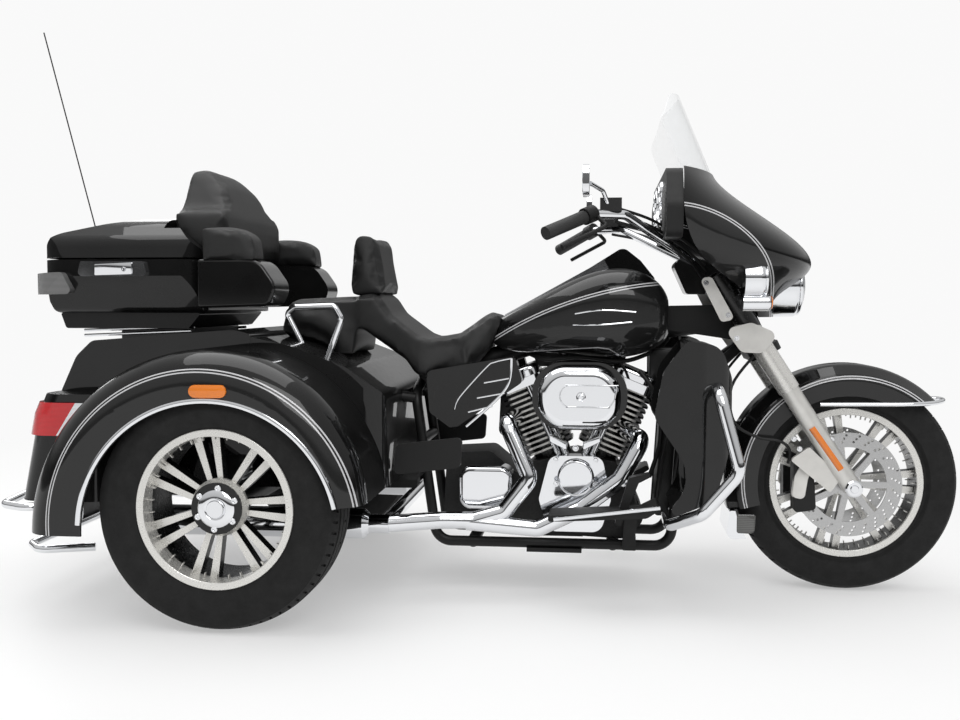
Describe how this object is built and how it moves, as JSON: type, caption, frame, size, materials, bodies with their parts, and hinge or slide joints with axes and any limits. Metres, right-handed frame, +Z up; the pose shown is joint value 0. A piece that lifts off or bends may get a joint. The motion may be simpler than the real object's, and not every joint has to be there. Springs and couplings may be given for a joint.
{
  "type": "motorized touring trike",
  "caption": "Touring trike with a steered front wheel, two rear wheels, a V-twin engine, handlebar fairing, rear trunk and a lidded top box.",
  "frame": {"origin": "on the floor, on the middle plane, half way between the front tyre and the antenna's tip", "axes": "+X forward, +Y left, +Z up"},
  "size_m": [2.7619, 1.39, 1.6805],
  "materials": {
    "paint_black": "deep gloss black paint",
    "frame_black": "satin black powder coat",
    "chrome": "polished chrome",
    "satin_aluminium": "satin silver",
    "wheel_alloy": "machined alloy over black",
    "disc_steel": "ground steel",
    "caliper_black": "black with a bright insert",
    "tyre": "black tyre rubber",
    "seat_leather": "black grained vinyl",
    "black_plastic": "moulded black plastic",
    "grip_rubber": "ribbed black rubber",
    "clear_screen": "clear polycarbonate",
    "red_lens": "red lens"
  },
  "bodies": {
    "chassis": {"frame": "frame_black", "engine_case": "frame_black", "cylinders": "frame_black", "rocker_covers": "chrome", "engine_covers": "chrome", "air_cleaner": "chrome", "exhaust_system": "chrome", "rear_axle_housing": "frame_black", "fuel_tank": "paint_black", "tank_console": "chrome", "seat": "seat_leather", "rider_backrest": "seat_leather", "side_covers": "paint_black", "trunk_body": "paint_black", "rear_fenders": "paint_black", "rear_bumper": "chrome", "plate_bracket": "frame_black", "rear_lamps": "red_lens", "top_box_base": "paint_black", "box_latch": "chrome", "passenger_backrest": "seat_leather", "speaker_pods": "black_plastic", "armrests": "seat_leather", "grab_rails": "chrome", "lower_fairings": "paint_black", "engine_guard": "chrome", "foot_controls": "black_plastic", "passenger_footboards": "black_plastic"},
    "steering": {"fork_legs": "satin_aluminium", "fork_covers": "satin_aluminium", "fork_bridges": "frame_black", "front_fender": "paint_black", "fender_flap": "chrome", "brake_calipers": "caliper_black", "handlebar_fairing": "paint_black", "dash_panel": "black_plastic", "windshield": "clear_screen", "headlamp": "chrome", "fork_shroud": "black_plastic", "passing_lamps": "chrome", "handlebar": "chrome", "hand_grips": "grip_rubber", "hand_controls": "satin_aluminium", "mirrors": "black_plastic"},
    "front_wheel": {"front_tyre": "tyre", "front_wheel": "wheel_alloy", "front_discs": "disc_steel"},
    "rear_wheel_left": {"rear_tyre_left": "tyre", "rear_wheel_left": "wheel_alloy"},
    "rear_wheel_right": {"rear_tyre_right": "tyre", "rear_wheel_right": "wheel_alloy"},
    "top_box_lid": {"top_box_lid": "paint_black", "antenna": "black_plastic"},
    "trunk_door": {"trunk_door": "paint_black"}
  },
  "joints": [
    {"name": "steering_turn", "type": "hinge", "parent": "chassis", "child": "steering", "pos_m": [0.77872, 0, 0.792], "axis": [-0.4384, 0, 0.8988], "range_deg": [-32, 32]},
    {"name": "front_wheel_spin", "type": "hinge", "parent": "steering", "child": "front_wheel", "pos_m": [1.065, 0, 0.316], "axis": [0, 1, 0], "continuous": true},
    {"name": "rear_wheel_left_spin", "type": "hinge", "parent": "chassis", "child": "rear_wheel_left", "pos_m": [-0.605, 0.567, 0.318], "axis": [0, 1, 0], "continuous": true},
    {"name": "rear_wheel_right_spin", "type": "hinge", "parent": "chassis", "child": "rear_wheel_right", "pos_m": [-0.605, -0.567, 0.318], "axis": [0, 1, 0], "continuous": true},
    {"name": "top_box_lid_open", "type": "hinge", "parent": "chassis", "child": "top_box_lid", "pos_m": [-1.045, 0.3415, 0.962], "axis": [-1, 0, 0], "range_deg": [0, 80]},
    {"name": "trunk_door_open", "type": "hinge", "parent": "chassis", "child": "trunk_door", "pos_m": [-1.217, 0, 0.343], "axis": [0, -1, 0], "range_deg": [0, 85]}
  ]
}
